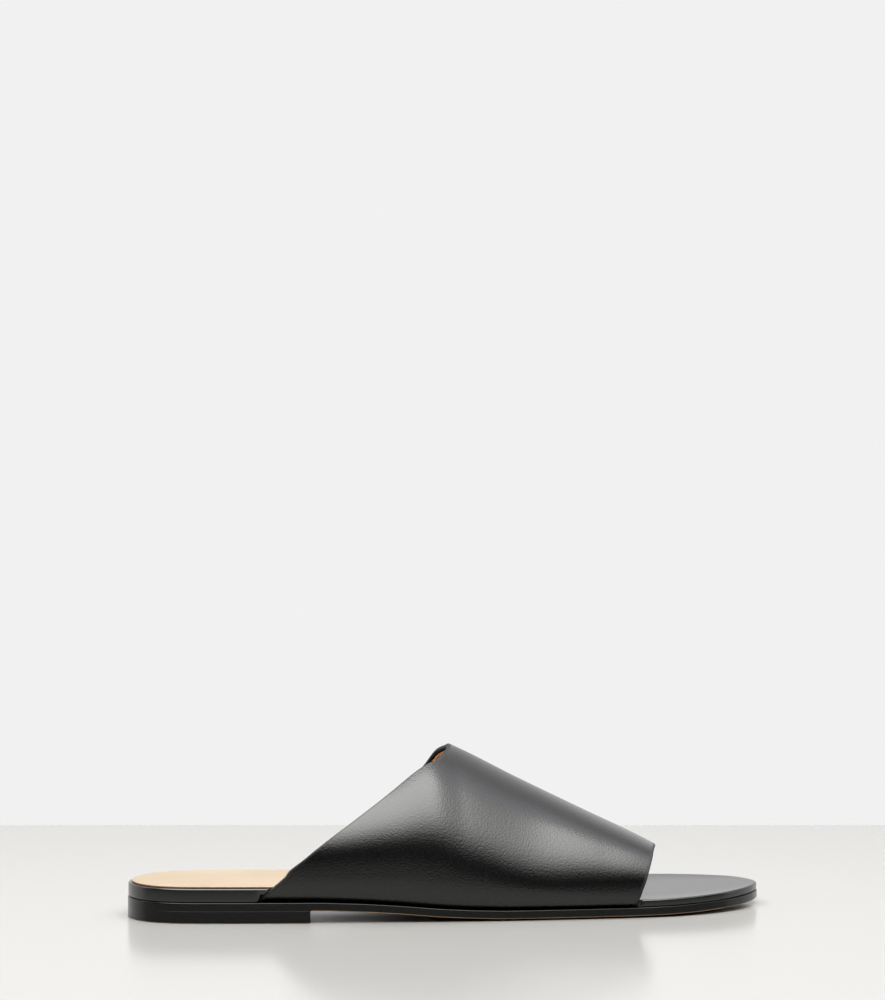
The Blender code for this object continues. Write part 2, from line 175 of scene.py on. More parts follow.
def sole_bottom(x, y):
    """Height of the outsole's underside: heel rise plus toe spring, and a crown that lifts the edge."""
    lateral, medial = sole_edge(x, "lateral"), sole_edge(x, "medial")
    half = np.maximum((medial - lateral) / 2, JOINT_GAP)
    across = np.abs(y - (lateral + medial) / 2) / half
    length = np.abs(2 * x / SOLE_LENGTH - 1)
    flat = 1.0
    for reach in (across, length):
        edge = np.clip((reach - TREAD_SHARE) / (1 - TREAD_SHARE), 0, 1)
        flat = flat * (1 - edge**2)
    return (
        (HEEL_LIFT_TOP + JOINT_GAP) * table_value(SOLE_PROFILE, "heel_rise", x)
        + TOE_SPRING * table_value(SOLE_PROFILE, "toe_rise", x)
        + EDGE_LIFT * table_value(SOLE_PROFILE, "edge_lift", x) * (1 - flat)
    )


def sole_loop():
    """The sole's edge as one closed loop of plan points, heel to toe and back, with the turn of each."""
    turn = np.linspace(0, 2 * np.pi, 2 * LOOP_STEPS, endpoint=False)
    x = SOLE_LENGTH * (1 - np.cos(turn)) / 2
    y = np.where(turn <= np.pi, sole_edge(x, "lateral"), sole_edge(x, "medial"))
    return np.stack([x, y], axis=-1), turn


def outward_of(loop):
    """Unit normals of a closed plan loop, from the chord between each point's neighbours."""
    tangent = np.roll(loop, -1, axis=0) - np.roll(loop, 1, axis=0)
    tangent /= np.linalg.norm(tangent, axis=1, keepdims=True)
    return np.stack([tangent[:, 1], -tangent[:, 0]], axis=-1)


def add_mesh(name, vertices, faces, masks=None):
    """Put points and faces into one smooth mesh, weld its seams and poles, and keep its masks."""
    points = np.array(vertices, dtype=float)
    points[:, 0] += HEEL_BACK
    mesh = bpy.data.meshes.new(name)
    mesh.from_pydata(points.tolist(), [], faces.tolist())
    for mask, values in (masks or {}).items():
        layer = mesh.attributes.new(mask, "FLOAT", "POINT")
        layer.data.foreach_set("value", np.asarray(values, dtype=np.float32).ravel())
    body = bmesh.new()
    body.from_mesh(mesh)
    bmesh.ops.remove_doubles(body, verts=body.verts, dist=1e-6)
    bmesh.ops.dissolve_degenerate(body, edges=body.edges, dist=1e-7)
    bmesh.ops.recalc_face_normals(body, faces=body.faces)
    body.to_mesh(mesh)
    body.free()
    mesh.shade_smooth()
    piece = bpy.data.objects.new(name, mesh)
    bpy.context.scene.collection.objects.link(piece)
    return piece


def grid_faces(rows, columns, closed_rows, closed_columns):
    """Quads of a grid of points, whose rows or columns may run round in a ring."""
    index = np.arange(rows * columns).reshape(rows, columns)
    if closed_rows:
        index = np.concatenate([index, index[:1]], axis=0)
    if closed_columns:
        index = np.concatenate([index, index[:, :1]], axis=1)
    corners = [index[:-1, :-1], index[1:, :-1], index[1:, 1:], index[:-1, 1:]]
    return np.stack(corners, axis=-1).reshape(-1, 4)


def layer_piece(name, loop, spine, profile, under, over, masks):
    """A flat layer: rings run from its spine out over the underside, up the side and back over the top.

    profile is a list of (inset, height) pairs of the side, from the underside's edge to
    the top's, each a number or one value for each point of the loop. Inside them the
    rings shrink to the spine in equal shares, at the heights of under and over, which
    are functions of the plan.
    """
    normal = outward_of(loop)
    sides = [loop - normal * np.reshape(inset, (-1, 1)) for inset, _ in profile]
    shares = np.linspace(0, 1, FLAT_STEPS, endpoint=False)[:, None, None]
    bottom = spine + (sides[0] - spine) * shares
    top = spine + (sides[-1] - spine) * shares[::-1]
    rings = np.concatenate([bottom, np.stack(sides), top])
    heights = np.concatenate(
        [
            under(bottom[..., 0], bottom[..., 1]),
            np.stack([np.broadcast_to(height, len(loop)) for _, height in profile]),
            over(top[..., 0], top[..., 1]),
        ]
    )
    points = np.concatenate([rings, heights[..., None]], axis=-1)
    rows, columns = heights.shape
    faces = grid_faces(rows, columns, False, True)
    values = {key: np.broadcast_to(mask(rows), heights.shape) for key, mask in masks.items()}
    return add_mesh(name, points.reshape(-1, 3), faces, values)


def spine_of(turn):
    """Points of the line that a full-length layer's rings shrink to, between two shares of its length."""
    start, end = (share * SOLE_LENGTH for share in SPINE_ENDS)
    x = start + (end - start) * (1 - np.cos(turn)) / 2
    middle = (sole_edge(x, "lateral") + sole_edge(x, "medial")) / 2
    return np.stack([x, middle], axis=-1)


def rounding(steps):
    """Angles of a quarter circle, with both of its ends."""
    return np.linspace(0, np.pi / 2, steps)


def side_ink(rows):
    """1 on the side's rings, 0 over the flat of the underside and on half of its round."""
    ring = np.arange(rows)[:, None]
    return (ring > FLAT_STEPS + ROUND_STEPS // 2).astype(float)


loop, turn = sole_loop()
edge_x, edge_y = loop.T
foot = sole_bottom(edge_x, edge_y)
on_lift = 1 - ease(HEEL_LIFT_END - BREAST_BLEND[0], HEEL_LIFT_END + BREAST_BLEND[1], edge_x)
foot_round = OUTSOLE_FOOT_ROUND * (1 - on_lift)
profile = []
for angle in rounding(ROUND_STEPS):
    profile.append(
        (foot_round * (1 - np.sin(angle)), foot + foot_round * (1 - np.cos(angle)))
    )
profile.append((0.0, foot + foot_round + SIDE_HOLD))
profile.append((0.0, foot + OUTSOLE_THICKNESS - OUTSOLE_TOP_ROUND - SIDE_HOLD))
for angle in rounding(ROUND_STEPS):
    fall = OUTSOLE_TOP_ROUND * (1 - np.sin(angle))
    profile.append((OUTSOLE_TOP_ROUND * (1 - np.cos(angle)), foot + OUTSOLE_THICKNESS - fall))
outsole = layer_piece(
    "outsole_leather",
    loop,
    spine_of(turn),
    profile,
    sole_bottom,
    lambda x, y: sole_bottom(x, y) + OUTSOLE_THICKNESS,
    {"ink": lambda rows: np.maximum(side_ink(rows), on_lift)},
)


def new_material(name):
    """An empty material with an output and a Principled shader, as (material, nodes, links, shader)."""
    material = bpy.data.materials.new(name)
    material.use_nodes = True
    nodes, links = material.node_tree.nodes, material.node_tree.links
    shader = nodes["Principled BSDF"]
    shader.inputs["Metallic"].default_value = 0.0
    return material, nodes, links, shader


def leather_grain_group():
    """Pebbled grain of leather: rounded cells, softened by noise, and slow mottling.

    Height is the cells' rounded tops plus fine fibre noise, Mottle a slow cloud between
    0 and 1, and Speck a fast one.
    """
    group = bpy.data.node_groups.new("leather_grain", "ShaderNodeTree")
    for name, kind, way, value in (
        ("Cell Scale", "NodeSocketFloat", "INPUT", 1500.0),
        ("Fibre", "NodeSocketFloat", "INPUT", 0.3),
        ("Mottle Scale", "NodeSocketFloat", "INPUT", 60.0),
        ("Height", "NodeSocketFloat", "OUTPUT", None),
        ("Mottle", "NodeSocketFloat", "OUTPUT", None),
        ("Speck", "NodeSocketFloat", "OUTPUT", None),
    ):
        socket = group.interface.new_socket(name=name, in_out=way, socket_type=kind)
        if value is not None:
            socket.default_value = value
    nodes, links = group.nodes, group.links
    given = nodes.new("NodeGroupInput")
    result = nodes.new("NodeGroupOutput")
    place = nodes.new("ShaderNodeTexCoord")
    drift = nodes.new("ShaderNodeTexNoise")
    drift.inputs["Scale"].default_value = 400.0
    drift.inputs["Detail"].default_value = 2.0
    links.new(place.outputs["Object"], drift.inputs["Vector"])
    push = nodes.new("ShaderNodeVectorMath")
    push.operation = "MULTIPLY_ADD"
    push.inputs[1].default_value = (0.0003,) * 3
    links.new(drift.outputs["Color"], push.inputs[0])
    links.new(place.outputs["Object"], push.inputs[2])
    cells = nodes.new("ShaderNodeTexVoronoi")
    cells.feature = "SMOOTH_F1"
    cells.inputs["Smoothness"].default_value = 0.6
    links.new(push.outputs["Vector"], cells.inputs["Vector"])
    links.new(given.outputs["Cell Scale"], cells.inputs["Scale"])
    fibre = nodes.new("ShaderNodeTexNoise")
    fibre.inputs["Detail"].default_value = 4.0
    double = nodes.new("ShaderNodeMath")
    double.operation = "MULTIPLY"
    double.inputs[1].default_value = 2.3
    links.new(given.outputs["Cell Scale"], double.inputs[0])
    links.new(double.outputs["Value"], fibre.inputs["Scale"])
    links.new(place.outputs["Object"], fibre.inputs["Vector"])
    dome = nodes.new("ShaderNodeMath")
    dome.operation = "SUBTRACT"
    dome.inputs[0].default_value = 1.0
    links.new(cells.outputs["Distance"], dome.inputs[1])
    height = nodes.new("ShaderNodeMath")
    height.operation = "MULTIPLY_ADD"
    links.new(fibre.outputs["Fac"], height.inputs[0])
    links.new(given.outputs["Fibre"], height.inputs[1])
    links.new(dome.outputs["Value"], height.inputs[2])
    links.new(height.outputs["Value"], result.inputs["Height"])
    cloud = nodes.new("ShaderNodeTexNoise")
    cloud.inputs["Detail"].default_value = 3.0
    links.new(place.outputs["Object"], cloud.inputs["Vector"])
    links.new(given.outputs["Mottle Scale"], cloud.inputs["Scale"])
    links.new(cloud.outputs["Fac"], result.inputs["Mottle"])
    links.new(fibre.outputs["Fac"], result.inputs["Speck"])
    return group


def place_group(nodes, group, **values):
    """A node that uses the group, with its inputs set by name."""
    node = nodes.new("ShaderNodeGroup")
    node.node_tree = group
    for name, value in values.items():
        node.inputs[name.replace("_", " ")].default_value = value
    return node


def spread(nodes, links, source, low, high, first, last):
    """Carry a value from the range low to high over to first to last, and keep it there."""
    node = nodes.new("ShaderNodeMapRange")
    node.inputs["From Min"].default_value = low
    node.inputs["From Max"].default_value = high
    node.inputs["To Min"].default_value = first
    node.inputs["To Max"].default_value = last
    links.new(source, node.inputs["Value"])
    return node.outputs["Result"]


def blend_colours(nodes, links, mask, first, last):
    """Mix two colours, each a value or a socket, by a mask."""
    node = nodes.new("ShaderNodeMix")
    node.data_type = "RGBA"
    links.new(mask, node.inputs["Factor"])
    for socket, colour in ((node.inputs["A"], first), (node.inputs["B"], last)):
        if isinstance(colour, tuple):
            socket.default_value = colour
        else:
            links.new(colour, socket)
    return node.outputs["Result"]


def raise_grain(nodes, links, shader, height, depth):
    """Feed a height to the shader's normal as bump, depth metres deep."""
    bump = nodes.new("ShaderNodeBump")
    bump.inputs["Strength"].default_value = 1.0
    bump.inputs["Distance"].default_value = depth
    links.new(height, bump.inputs["Height"])
    links.new(bump.outputs["Normal"], shader.inputs["Normal"])


def mask_of(nodes, name):
    """The value of a mask that the mesh carries."""
    node = nodes.new("ShaderNodeAttribute")
    node.attribute_name = name
    return node.outputs["Fac"]


GRAIN = leather_grain_group()


def inked_leather(name, bare, bare_dark, bare_roughness):
    """Leather inked black where the mask ink is 1, and bare where it is 0."""
    material, nodes, links, shader = new_material(name)
    grain = place_group(nodes, GRAIN, Cell_Scale=900.0, Fibre=0.8, Mottle_Scale=45.0)
    ink = mask_of(nodes, "ink")
    mottle = spread(nodes, links, grain.outputs["Mottle"], 0.35, 0.65, 0.0, 1.0)
    tan = blend_colours(nodes, links, mottle, bare_dark, bare)
    speck = spread(nodes, links, grain.outputs["Speck"], 0.4, 0.75, 0.0, 1.0)
    black = blend_colours(nodes, links, speck, INK_BLACK, INK_WORN)
    links.new(blend_colours(nodes, links, ink, tan, black), shader.inputs["Base Color"])
    gloss = spread(nodes, links, grain.outputs["Mottle"], 0.3, 0.7, 0.18, 0.25)
    rough = nodes.new("ShaderNodeMix")
    links.new(ink, rough.inputs["Factor"])
    rough.inputs["A"].default_value = bare_roughness
    shader.inputs["Specular IOR Level"].default_value = INK_SHEEN
    links.new(gloss, rough.inputs["B"])
    links.new(rough.outputs["Result"], shader.inputs["Roughness"])
    raise_grain(nodes, links, shader, grain.outputs["Height"], INK_GRAIN_DEPTH)
    return material


sole_leather = inked_leather("sole_leather", BARE_LEATHER, BARE_LEATHER_DARK, bare_roughness=0.55)
outsole.data.materials.append(sole_leather)
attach(outsole, "root")
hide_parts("outsole")


# Heel lift
# A low block under the heel, level with the outsole all round. It is glued on, sanded
# flush and inked over, so that the joint hardly shows, and its front is cut straight.

LIFT_FOOT_ROUND = 0.0004
LOOP_STEP = 0.0004
LIFT_CENTRE = 0.52
BARE_RUBBER = (0.30, 0.19, 0.11, 1)
BARE_RUBBER_DARK = (0.22, 0.14, 0.08, 1)


def even_loop(loop):
    """A closed plan loop with its points LOOP_STEP apart and its corners slightly rounded."""
    length = np.linalg.norm(np.diff(loop, axis=0, append=loop[:1]), axis=1)
    reach = np.concatenate([[0], np.cumsum(length)])
    at = np.linspace(0, reach[-1], int(reach[-1] / LOOP_STEP), endpoint=False)
    closed = np.concatenate([loop, loop[:1]])
    even = np.stack([np.interp(at, reach, closed[:, axis]) for axis in (0, 1)], axis=-1)
    for _ in range(3):
        even = (np.roll(even, 1, axis=0) + 2 * even + np.roll(even, -1, axis=0)) / 4
    return even


def lift_loop():
    """The lift's plan: the sole's edge as far as the breast, then straight across behind it."""
    share = np.linspace(0, 1, LOOP_STEPS)
    x = HEEL_LIFT_END * (1 - np.cos(np.pi / 2 * share))
    lateral = np.stack([x, sole_edge(x, "lateral")], axis=-1)
    medial = np.stack([x, sole_edge(x, "medial")], axis=-1)[::-1]
    across = np.stack([lateral[-1] + (medial[0] - lateral[-1]) * t for t in share[1:-1]])
    return even_loop(np.concatenate([lateral, across, medial[:-1]]))


breast_loop = lift_loop()
centre = np.broadcast_to([[LIFT_CENTRE * HEEL_LIFT_END, 0.0]], breast_loop.shape)
lift_top = HEEL_LIFT_TOP + JOINT_GAP - GLUE_LINE
profile = []
for angle in rounding(ROUND_STEPS):
    profile.append(
        (LIFT_FOOT_ROUND * (1 - np.sin(angle)), LIFT_FOOT_ROUND * (1 - np.cos(angle)))
    )
profile.append((0.0, LIFT_FOOT_ROUND + SIDE_HOLD))
profile.append((0.0, lift_top - SIDE_HOLD))
profile.append((0.0, lift_top))
heel_lift = layer_piece(
    "heel_lift_block",
    breast_loop,
    centre,
    profile,
    lambda x, y: np.zeros_like(x),
    lambda x, y: np.full_like(x, lift_top),
    {"ink": side_ink},
)
heel_rubber = inked_leather("heel_rubber", BARE_RUBBER, BARE_RUBBER_DARK, bare_roughness=0.6)
heel_lift.data.materials.append(heel_rubber)
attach(heel_lift, "root")
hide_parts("heel_lift")


# Upper
# One panel of black nappa, lined with tan leather, drawn over the last and turned in
# under the footbed. It is cut to an asymmetric throat and an open toe, and the cut
# edges are inked black over the full thickness of leather and lining.

VAMP_HEIGHT = 0.0642
WALL = 0.0018
LINING_THICKNESS = 0.0006
ROLL_WIDTH = 0.0050
BULGE = 0.0015
ROLL_SHARE = 0.06
MARGIN_WIDTH = 0.0080
MARGIN_THICKNESS = 0.0009
EDGE_REACH = 0.0006
EDGE_SQUARENESS = 2.8
INK_LIP = 0.0009
UPPER_ROWS = 120
BACK_ROWS = 50
EDGE_STEPS = 12
ROLL_STEPS = 14
ARCH_STEPS = 90

# Sections of the upper across the foot: ridge_height and the widest heights are shares
# of VAMP_HEIGHT, ridge_side of BALL_WIDTH and the bulges of BULGE. A flank is an
# ellipse where wall and crown are 2: a larger wall keeps it upright for longer, and a
# larger crown flattens it towards the ridge.
UPPER_SECTIONS = np.array(
    [
        (0.16, 0.75, 0.080, 0.4, 0.4, 0.270, 0.280, 3.00, 1.40, 1.90, 1.90),
        (0.28, 0.80, 0.100, 0.8, 1.6, 0.280, 0.340, 3.00, 1.30, 1.90, 1.90),
        (0.40, 0.98, 0.112, 1.0, 2.8, 0.280, 0.370, 2.80, 1.20, 1.95, 1.95),
        (0.46, 1.075, 0.114, 1.0, 2.5, 0.262, 0.350, 2.40, 1.40, 1.98, 1.98),
        (0.51, 1.00, 0.116, 1.0, 2.2, 0.238, 0.330, 2.08, 1.58, 2.00, 2.00),
        (0.62, 0.785, 0.110, 1.0, 1.2, 0.186, 0.255, 1.76, 1.95, 2.05, 2.05),
        (0.72, 0.595, 0.092, 1.0, 0.9, 0.163, 0.215, 2.10, 2.60, 2.10, 2.10),
        (0.82, 0.407, 0.072, 1.0, 0.8, 0.157, 0.190, 2.50, 3.40, 2.15, 2.15),
        (0.86, 0.320, 0.066, 1.0, 0.8, 0.153, 0.185, 2.50, 3.50, 2.15, 2.15),
    ],
    dtype=[
        ("along", float),
        ("ridge_height", float),
        ("ridge_side", float),
        ("lateral_bulge", float),
        ("medial_bulge", float),
        ("lateral_widest", float),
        ("medial_widest", float),
        ("lateral_wall", float),
        ("lateral_crown", float),
        ("medial_wall", float),
        ("medial_crown", float),
    ],
)

# Where the upper is cut: around runs from the lateral feather edge (0) over the ridge
# (0.5) to the medial one (1), throat and toe are shares of SOLE_LENGTH.
UPPER_CUTS = np.array(
    [
        (0.000, 0.189, 0.773),
        (0.023, 0.197, 0.774),
        (0.042, 0.212, 0.778),
        (0.060, 0.231, 0.782),
        (0.082, 0.256, 0.786),
        (0.114, 0.282, 0.790),
        (0.145, 0.307, 0.793),
        (0.186, 0.345, 0.797),
        (0.225, 0.385, 0.801),
        (0.267, 0.425, 0.805),
        (0.300, 0.454, 0.808),
        (0.330, 0.475, 0.811),
        (0.380, 0.491, 0.817),
        (0.440, 0.503, 0.825),
        (0.500, 0.508, 0.833),
        (0.550, 0.507, 0.837),
        (0.630, 0.495, 0.839),
        (0.720, 0.478, 0.838),
        (0.800, 0.437, 0.831),
        (0.870, 0.383, 0.824),
        (0.940, 0.332, 0.815),
        (0.970, 0.316, 0.810),
        (1.000, 0.306, 0.806),
    ],
    dtype=[("around", float), ("throat", float), ("toe", float)],
)


def seat(x, y):
    """Height at which footbed and upper sit: the outsole's top with the cement on it."""
    return sole_bottom(x, y) + OUTSOLE_THICKNESS + GLUE_LINE


def cut_line(around, end):
    """Distance of the throat's or the toe's cut from the heel's back."""
    return SOLE_LENGTH * smooth(UPPER_CUTS["around"], UPPER_CUTS[end], around)


def flank(x, side):
    """Sizes of one flank of the upper's sections: a dictionary of arrays over x."""
    outward = -1 if side == "lateral" else 1
    bulge = BULGE * table_value(UPPER_SECTIONS, side + "_bulge", x)
    widest = sole_edge(x, side) + outward * bulge
    feather = widest - outward * ROLL_WIDTH
    return {
        "outward": outward,
        "widest": widest,
        "feather": feather,
        "foot": seat(x, feather),
        "height": VAMP_HEIGHT * table_value(UPPER_SECTIONS, side + "_widest", x),
        "wall": table_value(UPPER_SECTIONS, side + "_wall", x),
        "crown": table_value(UPPER_SECTIONS, side + "_crown", x),
    }


def ridge_slope(x):
    """How steeply the ridge falls towards the toe, as rise over run."""
    step = 0.01 * SOLE_LENGTH
    ahead = table_value(UPPER_SECTIONS, "ridge_height", x + step)
    behind = table_value(UPPER_SECTIONS, "ridge_height", x - step)
    return VAMP_HEIGHT * (ahead - behind) / (2 * step)


def upper_surface(x, around, depth):
    """A point of the upper at a depth in its wall: a quarter ellipse from the feather edge out to
    the widest point, then a quarter superellipse up to the ridge, on each flank."""
    foot_depth = depth * MARGIN_THICKNESS / WALL
    ridge_side = BALL_WIDTH * table_value(UPPER_SECTIONS, "ridge_side", x)
    ridge_height = VAMP_HEIGHT * table_value(UPPER_SECTIONS, "ridge_height", x)
    ridge_height = ridge_height - depth * np.hypot(1, ridge_slope(x))
    y, z = np.empty_like(x), np.empty_like(x)
    for side in ("lateral", "medial"):
        part = flank(x, side)
        share = around if side == "lateral" else 1 - around
        turn = np.pi / 2 * np.clip(1 - share / ROLL_SHARE, 0, 1)
        roll_y = part["feather"] + part["outward"] * (ROLL_WIDTH - depth) * np.cos(turn)
        fall = part["height"] - part["foot"] - foot_depth
        roll_z = part["height"] - fall * np.sin(turn)
        climb = np.pi / 2 * np.clip((share - ROLL_SHARE) / (0.5 - ROLL_SHARE), 0, 1)
        start = part["widest"] - part["outward"] * depth
        arch_y = ridge_side + (start - ridge_side) * np.cos(climb) ** (2 / part["crown"])
        arch_rise = (ridge_height - part["height"]) * np.sin(climb) ** (2 / part["wall"])
        here = around <= 0.5 if side == "lateral" else around > 0.5
        low = share < ROLL_SHARE
        y = np.where(here, np.where(low, roll_y, arch_y), y)
        z = np.where(here, np.where(low, roll_z, part["height"] + arch_rise), z)
    return np.stack([x, y, z], axis=-1)


def around_columns():
    """The columns of the upper's grid, from one feather edge to the other, close where it turns."""
    roll = np.linspace(0, ROLL_SHARE, ROLL_STEPS, endpoint=False)
    arch = np.linspace(ROLL_SHARE, 0.5, ARCH_STEPS, endpoint=False)
    return np.concatenate([roll, arch, [0.5], 1 - arch[::-1], 1 - roll[::-1]])


def wall_piece(name, share, reach, depth, masks):
    """A closed sheet in the upper's wall: a closed profile along the foot, carried around it.

    Each point of the profile has a share of the way from throat to toe, a reach beyond
    it in metres and a depth in the wall. The ends are the lasting margin, turned in
    under the footbed.
    """
    around = around_columns()[None, :]
    share, reach, depth = (np.asarray(part)[:, None] for part in (share, reach, depth))
    throat, toe = cut_line(around, "throat"), cut_line(around, "toe")
    x = throat + EDGE_REACH + (toe - throat - 2 * EDGE_REACH) * share + reach
    fall = -np.sin(np.arctan(ridge_slope(x)))
    x = x - depth * fall * np.sin(np.pi * around)
    around = np.broadcast_to(around, x.shape)
    depth = np.broadcast_to(depth, x.shape)
    points = upper_surface(x, around, depth)
    margins = []
    for side, column in (("lateral", 0), ("medial", -1)):
        edge = points[:, column].copy()
        outward = -1 if side == "lateral" else 1
        edge[:, 1] -= outward * MARGIN_WIDTH
        edge[:, 2] = seat(edge[:, 0], edge[:, 1])
        edge[:, 2] += depth[:, column] * MARGIN_THICKNESS / WALL
        margins.append(edge[:, None])
    points = np.concatenate([margins[0], points, margins[1]], axis=1)
    rows, columns = points.shape[:2]
    faces = grid_faces(rows, columns, True, False)
    point_masks = {key: np.repeat(values, columns) for key, values in masks.items()}
    piece = add_mesh(name, points.reshape(-1, 3), faces, point_masks)
    body = bmesh.new()
    body.from_mesh(piece.data)
    rims = [edge for edge in body.edges if edge.is_boundary]
    bmesh.ops.holes_fill(body, edges=rims, sides=0)
    bmesh.ops.triangulate(body, faces=[face for face in body.faces if len(face.verts) > 4])
    bmesh.ops.recalc_face_normals(body, faces=body.faces)
    body.to_mesh(piece.data)
    body.free()
    piece.data.shade_smooth()
    return piece


def edge_arc(end):
    """Reach and depth of the inked edge: half a superellipse from the outer face to the inner one."""
    angle = np.linspace(np.pi / 2, -np.pi / 2, EDGE_STEPS + 1)
    power = 2 / EDGE_SQUARENESS
    reach = EDGE_REACH * np.abs(np.cos(angle)) ** power
    depth = WALL / 2 * (1 - np.sign(angle) * np.abs(np.sin(angle)) ** power)
    return (reach, depth) if end == "toe" else (-reach[::-1], depth[::-1])


leather_back = WALL - LINING_THICKNESS
toe_reach, toe_depth = edge_arc("toe")
throat_reach, throat_depth = edge_arc("throat")
outer = np.linspace(0, 1, UPPER_ROWS)[1:-1]
back = np.linspace(1, 0, BACK_ROWS)
share = np.concatenate([outer, np.ones(EDGE_STEPS + 1), [1], back, [0], np.zeros(EDGE_STEPS + 1)])
lip = np.concatenate([[-INK_LIP], -INK_LIP * (2 * back - 1), [INK_LIP]])
reach = np.concatenate([np.zeros(len(outer)), toe_reach, lip, throat_reach])
depth = np.concatenate(
    [np.zeros(len(outer)), toe_depth, [WALL], np.full(BACK_ROWS, leather_back), [WALL], throat_depth]
)
ink = np.concatenate(
    [np.zeros(len(outer)), np.ones(EDGE_STEPS + 1), [1], np.zeros(BACK_ROWS), [1], np.ones(EDGE_STEPS + 1)]
)
upper = wall_piece("upper_leather", share, reach, depth, {"raw_edge": ink})

lining_rows = np.linspace(0, 1, UPPER_ROWS)
share = np.concatenate([lining_rows, lining_rows[::-1]])
reach = INK_LIP * (1 - 2 * share)
depth = np.repeat([leather_back + GLUE_LINE, WALL], UPPER_ROWS)
lining = wall_piece("upper_lining", share, reach, depth, {})

EDGE_ROUGHNESS = 0.6
NAPPA_BLACK = (0.0009, 0.0009, 0.0010, 1)
NAPPA_GREY = (0.0016, 0.0016, 0.0017, 1)


def nappa(name, cell_scale, depth, rough_low, rough_high, sheen):
    """Smooth aniline-dyed nappa: near black, with fine grain and a gloss that varies in specks.

    Where the mesh has the mask raw_edge, it is the duller ink of a cut edge.
    """
    material, nodes, links, shader = new_material(name)
    grain = place_group(nodes, GRAIN, Cell_Scale=cell_scale, Fibre=0.5, Mottle_Scale=70.0)
    mottle = spread(nodes, links, grain.outputs["Mottle"], 0.3, 0.7, 0.0, 1.0)
    colour = blend_colours(nodes, links, mottle, NAPPA_BLACK, NAPPA_GREY)
    links.new(colour, shader.inputs["Base Color"])
    gloss = spread(nodes, links, grain.outputs["Speck"], 0.35, 0.65, rough_low, rough_high)
    edge = nodes.new("ShaderNodeMix")
    links.new(mask_of(nodes, "raw_edge"), edge.inputs["Factor"])
    links.new(gloss, edge.inputs["A"])
    edge.inputs["B"].default_value = EDGE_ROUGHNESS
    links.new(edge.outputs["Result"], shader.inputs["Roughness"])
    shader.inputs["Specular IOR Level"].default_value = sheen
    raise_grain(nodes, links, shader, grain.outputs["Height"], depth)
    return material


upper_leather = nappa(
    "upper_leather", cell_scale=1500.0, depth=0.00005, rough_low=0.18, rough_high=0.29, sheen=0.5
)
upper.data.materials.append(upper_leather)
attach(upper, "root")
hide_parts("upper")

LINING_TAN = (0.85, 0.45, 0.19, 1)
LINING_TAN_DARK = (0.72, 0.35, 0.13, 1)
lining_leather, nodes, links, shader = new_material("lining_leather")
grain = place_group(nodes, GRAIN, Cell_Scale=1100.0, Fibre=0.7, Mottle_Scale=50.0)
mottle = spread(nodes, links, grain.outputs["Mottle"], 0.3, 0.7, 0.0, 1.0)
links.new(blend_colours(nodes, links, mottle, LINING_TAN_DARK, LINING_TAN), shader.inputs["Base Color"])
shader.inputs["Roughness"].default_value = 0.55
raise_grain(nodes, links, shader, grain.outputs["Height"], 0.00004)
lining.data.materials.append(lining_leather)
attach(lining, "root")


# Footbed
# A firm board, thicker under the heel, wrapped in black leather that is pulled round
# its rim. Under the upper its side steps in to take the wall.

FOOTBED_HEEL_THICKNESS = 0.0054
FOOTBED_TOE_THICKNESS = 0.0029
FOOTBED_INSET = 0.0002
FOOTBED_RIM_ROUND = 0.0007
FOOTBED_FOOT_ROUND = 0.0008
RIM_STEPS = 10
LAP_RUN = 0.0008
LAP_GAP = 0.0001


def footbed_thickness(x):
    """Thickness of the footbed, which falls from heel to ball."""
    extra = FOOTBED_HEEL_THICKNESS - FOOTBED_TOE_THICKNESS
    return FOOTBED_TOE_THICKNESS + extra * table_value(SOLE_PROFILE, "heel_thickness", x)


def footbed_top(x, y):
    """Height of the footbed's upper face."""
    return seat(x, y) + footbed_thickness(x)


def lap(x, height, side):
    """1 where the upper laps over the footbed's side at a height, 0 clear of it.

    The cut runs aslant down the side, so it is read at the place on the roll that has
    this height.
    """
    part = flank(x, side)
    fall = part["height"] - part["foot"]
    turn = np.arcsin(np.clip((part["height"] - height) / fall, 0, 1))
    around = ROLL_SHARE * (1 - turn / (np.pi / 2))
    around = around if side == "lateral" else 1 - around
    start, end = cut_line(around, "throat"), cut_line(around, "toe")
    rise = ease(start - LAP_RUN, start - LAP_GAP, x)
    return rise * (1 - ease(end + LAP_GAP, end + LAP_RUN, x))


def lap_inset(x, height, side):
    """Inset that clears the inner face of the upper's roll at a height."""
    part = flank(x, side)
    fall = part["height"] - part["foot"] - MARGIN_THICKNESS
    rise = np.clip(height - part["foot"] - MARGIN_THICKNESS, 0, fall)
    out = np.sqrt(np.maximum(1 - (1 - rise / fall) ** 2, 0))
    inner = part["feather"] + part["outward"] * (ROLL_WIDTH - WALL) * out
    return part["outward"] * (sole_edge(x, side) - inner) + JOINT_GAP


foot = seat(edge_x, edge_y)
thickness = footbed_thickness(edge_x)
profile = []
levels = []
for angle in rounding(ROUND_STEPS):
    inset = FOOTBED_INSET + FOOTBED_FOOT_ROUND * (1 - np.sin(angle))
    levels.append((inset, foot + FOOTBED_FOOT_ROUND * (1 - np.cos(angle))))
for angle in rounding(RIM_STEPS):
    inset = FOOTBED_INSET + FOOTBED_RIM_ROUND * (1 - np.cos(angle))
    levels.append((inset, foot + thickness - FOOTBED_RIM_ROUND * (1 - np.sin(angle))))
for inset, height in levels:
    for side in ("lateral", "medial"):
        on_side = turn <= np.pi if side == "lateral" else turn > np.pi
        lapped = lap(edge_x, height, side)
        clear = np.maximum(lap_inset(edge_x, height, side), inset)
        inset = np.where(on_side, inset + (clear - inset) * lapped, inset)
    profile.append((inset, height))
footbed = layer_piece(
    "footbed_wrap",
    loop,
    spine_of(turn),
    profile,
    seat,
    footbed_top,
    {},
)
